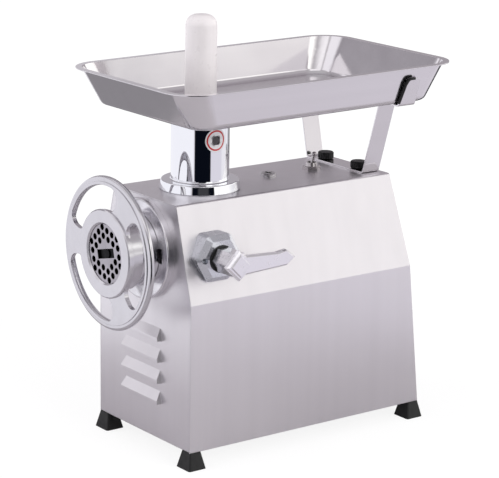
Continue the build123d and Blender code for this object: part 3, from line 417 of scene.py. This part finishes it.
def trim_path():
    """The strip's run on the tab: up the slanting edge, round the corner, along the top."""
    path = [(TAB_TAPER * d * MM / TRIM_REACH, d * MM) for d in range(2, 30, 3)]
    bends = 8
    for k in range(bends + 1):
        angle = math.pi - math.radians(10 + 80 * k / bends)
        path.append(
            (
                TAB_TAPER + TAB_ROUNDING + TAB_ROUNDING * math.cos(angle),
                TRIM_REACH - TAB_ROUNDING + TAB_ROUNDING * math.sin(angle),
            )
        )
    path += [(TAB_TAPER + d * MM, TRIM_REACH) for d in (8, 10, 12)]
    return path


def trim_section(k):
    """Point k of the strip's rounded oblong section: across and through the tab."""
    angle = 2 * math.pi * k / TRIM_SIDES
    across, through = [
        math.copysign(abs(share) ** TRIM_SQUARENESS, share)
        for share in (math.cos(angle), math.sin(angle))
    ]
    return TRIM_HALF_WIDTH * across, TRIM_HALF_THICKNESS * through


def make_tab_trim():
    """A black strip over the front edge and corner of the bracket's near tab: a dark piece
    standing in for the shadowed line along that edge.
    """
    top = high_of("tray_bracket")
    edge_y = low_of("tray_bracket").y
    up = Vector((TAB_RUN, 0, TAB_HEIGHT)).normalized()
    outward = Vector((up.z, 0, -up.x))
    foot = Vector((top.x - TRIM_INSET, edge_y, top.z)) - up * TAB_HEIGHT
    path = trim_path()
    build = bmesh.new()
    rings = []
    for i, (y, height) in enumerate(path):
        before, after = path[max(i - 1, 0)], path[min(i + 1, len(path) - 1)]
        along = Vector((0, after[0] - before[0], 0)) + up * (after[1] - before[1])
        side = along.normalized().cross(outward)
        centre = foot + Vector((0, y, 0)) + up * height
        ring = []
        for k in range(TRIM_SIDES):
            across, through = trim_section(k)
            ring.append(build.verts.new(centre + side * across + outward * through))
        rings.append(ring)
    for ring, following in zip(rings, rings[1:]):
        for k in range(TRIM_SIDES):
            k2 = (k + 1) % TRIM_SIDES
            build.faces.new((ring[k], ring[k2], following[k2], following[k])).smooth = True
    build.faces.new(rings[0])
    build.faces.new(rings[-1])
    new_piece("tab_trim", build, [moulded("tab_shade_strip", (0.006, 0.006, 0.006), 0.5)], "housing")


make_label()
make_tab_trim()


# ---- floor, light and camera ---------------------------------------------------------------
FLOOR_RADIUS = 0.62
FLOOR_DROP = 0.2 * MM  # keeps the floor clear of the feet's undersides


def camera_only(tree, seen, otherwise):
    """One shader for what the camera sees directly, another for light and reflections."""
    rays = tree.nodes.new("ShaderNodeLightPath")
    mix = tree.nodes.new("ShaderNodeMixShader")
    tree.links.new(rays.outputs["Is Camera Ray"], mix.inputs["Fac"])
    tree.links.new(otherwise, mix.inputs[1])
    tree.links.new(seen, mix.inputs[2])
    return mix.outputs[0]


def make_floor():
    """A pale round sheet under the machine, lit so that it meets the white surroundings."""
    mesh = bpy.data.meshes.new("floor")
    build = bmesh.new()
    bmesh.ops.create_circle(build, cap_ends=True, segments=128, radius=FLOOR_RADIUS)
    build.to_mesh(mesh)
    build.free()
    floor = bpy.data.objects.new("floor", mesh)
    floor.location = (0, 0, -FLOOR_DROP)
    scene.collection.objects.link(floor)
    recipe = Recipe("floor_white", (0.50, 0.48, 0.50), 1.0)
    tree = recipe.tree
    paper = recipe.add("ShaderNodeBsdfDiffuse", Color=(0.17, 0.17, 0.17, 1))
    glow = recipe.add("ShaderNodeEmission", Strength=0.86)
    both = recipe.add("ShaderNodeAddShader")
    tree.links.new(paper.outputs[0], both.inputs[0])
    tree.links.new(glow.outputs[0], both.inputs[1])
    seen = camera_only(tree, both.outputs[0], recipe.shader.outputs[0])
    tree.links.new(seen, tree.nodes["Material Output"].inputs["Surface"])
    mesh.materials.append(recipe.material)


# what the metals reflect, later panels over earlier ones: azimuth from +X towards +Y and its
# half width, lowest and highest elevation and softness, all in degrees, then the colour
BACKDROP_STRENGTH = 1.05
STUDIO_BASE = (0.52, 0.495, 0.52)
STUDIO_PANELS = [
    (0, 180, -90, -2, 6, (0.66, 0.63, 0.68)),
    (37, 60, -32, -2, 6, (0.77, 0.74, 0.81)),
    (143, 60, 0, 60, 12, (0.41, 0.38, 0.41)),
    (-150, 70, -90, -22, 6, (0.30, 0.29, 0.31)),
    (-137, 78, -22, 10, 5, (0.99, 0.98, 1.03)),
    (-120, 50, 10, 50, 6, (1.05, 1.03, 1.07)),
    (-146, 34, 22, 33, 2.5, (0.38, 0.36, 0.39)),
    (-22, 40, 36, 60, 6, (1.15, 1.13, 1.15)),
    (85, 27, -24, -4, 5, (0.90, 0.88, 0.92)),
    (36, 62, 0, 27, 5, (1.45, 1.44, 1.40)),
    (40, 8, 6, 14.5, 2, (0.92, 0.89, 0.90)),
    (25, 10, 5, 15, 2, (0.70, 0.68, 0.70)),
    (0, 180, 62, 90, 8, (0.55, 0.54, 0.56)),
    (-25, 32, -70, 9, 2, (0.003, 0.004, 0.008)),
    (-25, 15, 4, 27, 3, (0.05, 0.05, 0.055)),
    (128, 26, -75, -10, 4, (0.07, 0.07, 0.08)),
]


def make_world():
    """White backdrop for the eye, and a studio of pale and dark panels for the reflections."""
    world = bpy.data.worlds.new("studio")
    scene.world = world
    world.use_nodes = True
    tree = world.node_tree
    tree.nodes.clear()

    def math_node(operation, *values):
        node = tree.nodes.new("ShaderNodeMath")
        node.operation = operation
        for socket, value in zip(node.inputs, values):
            if hasattr(value, "links"):
                tree.links.new(value, socket)
            else:
                socket.default_value = value
        return node.outputs[0]

    def step(value, edge, soft):
        """0 well below the edge, 1 well above it, and a smooth rise between."""
        node = tree.nodes.new("ShaderNodeMapRange")
        node.interpolation_type = "SMOOTHSTEP"
        node.inputs["From Min"].default_value = edge - soft
        node.inputs["From Max"].default_value = edge + soft
        tree.links.new(value, node.inputs["Value"])
        return node.outputs["Result"]

    place = tree.nodes.new("ShaderNodeTexCoord")
    split = tree.nodes.new("ShaderNodeSeparateXYZ")
    tree.links.new(place.outputs["Generated"], split.inputs[0])
    x, y, z = split.outputs
    elevation = math_node("DEGREES", math_node("ARCSINE", z))
    azimuth = math_node("DEGREES", math_node("ARCTAN2", y, x))

    def panel(middle_azimuth, half_width, low, high, soft):
        """1 inside the panel, 0 outside; a half width of 180 goes all the way round."""
        mask = step(elevation, low, soft)
        mask = math_node("MULTIPLY", mask, math_node("SUBTRACT", 1, step(elevation, high, soft)))
        if half_width < 180:
            turn = math_node("WRAP", math_node("SUBTRACT", azimuth, middle_azimuth), 180, -180)
            away = math_node("ABSOLUTE", turn)
            inside = math_node("SUBTRACT", 1, step(away, half_width, soft))
            mask = math_node("MULTIPLY", mask, inside)
        return mask

    base = tree.nodes.new("ShaderNodeRGB")
    base.outputs[0].default_value = (*STUDIO_BASE, 1)
    colour = base.outputs[0]
    for *extent, tone in STUDIO_PANELS:
        mix = tree.nodes.new("ShaderNodeMixRGB")
        mix.inputs["Color2"].default_value = (*tone, 1)
        tree.links.new(colour, mix.inputs["Color1"])
        tree.links.new(panel(*extent), mix.inputs["Fac"])
        colour = mix.outputs["Color"]
    studio = tree.nodes.new("ShaderNodeBackground")
    tree.links.new(colour, studio.inputs["Color"])
    backdrop = tree.nodes.new("ShaderNodeBackground")
    backdrop.inputs["Color"].default_value = (1, 1, 1, 1)
    backdrop.inputs["Strength"].default_value = BACKDROP_STRENGTH
    output = tree.nodes.new("ShaderNodeOutputWorld")
    shown = camera_only(tree, backdrop.outputs[0], studio.outputs[0])
    tree.links.new(shown, output.inputs["Surface"])


LAMP_TARGET = Vector((0, 0, 0.25))


def direction(azimuth, elevation):
    """Unit vector from the machine outwards, azimuth from +X towards +Y, in radians."""
    level = math.cos(elevation)
    return Vector((level * math.cos(azimuth), level * math.sin(azimuth), math.sin(elevation)))


def add_softbox(name, azimuth, elevation, distance, size, power):
    """A square area light aimed at the machine's middle, which its metals don't reflect."""
    toward = direction(math.radians(azimuth), math.radians(elevation))
    light = bpy.data.lights.new(name, "AREA")
    light.shape = "SQUARE"
    light.size = size
    light.energy = power
    lamp = bpy.data.objects.new(name, light)
    lamp.location = LAMP_TARGET + toward * distance
    lamp.rotation_euler = (-toward).to_track_quat("-Z", "Y").to_euler()
    lamp.visible_glossy = False
    scene.collection.objects.link(lamp)


CAMERA_AIM = Vector((-45.5, 24.0, 244.3)) * MM
CAMERA_DISTANCE = 2950 * MM
CAMERA_AZIMUTH = math.radians(-36.9)
CAMERA_ELEVATION = math.radians(14.4)
CAMERA_ROLL = math.radians(0.9)


def make_camera():
    """The main viewpoint: off the lever's corner, a little above the machine."""
    data = bpy.data.cameras.new("camera")
    data.sensor_width = 36
    data.lens = 158.35
    data.clip_end = 50
    camera = bpy.data.objects.new("camera", data)
    back = direction(CAMERA_AZIMUTH, CAMERA_ELEVATION)
    right = Vector((-math.sin(CAMERA_AZIMUTH), math.cos(CAMERA_AZIMUTH), 0))
    level = Matrix((right, back.cross(right), back)).transposed().to_4x4()
    roll = Matrix.Rotation(CAMERA_ROLL, 4, "Z")
    camera.matrix_world = Matrix.Translation(CAMERA_AIM + back * CAMERA_DISTANCE) @ level @ roll
    scene.collection.objects.link(camera)
    scene.camera = camera


make_floor()
make_world()
add_softbox("key", azimuth=10, elevation=18, distance=1.8, size=1.2, power=17.5)
add_softbox("fill", azimuth=-120, elevation=15, distance=1.8, size=1.2, power=13)
add_softbox("top", azimuth=0, elevation=90, distance=1.6, size=1.4, power=3)
make_camera()
scene.view_settings.view_transform = "Standard"
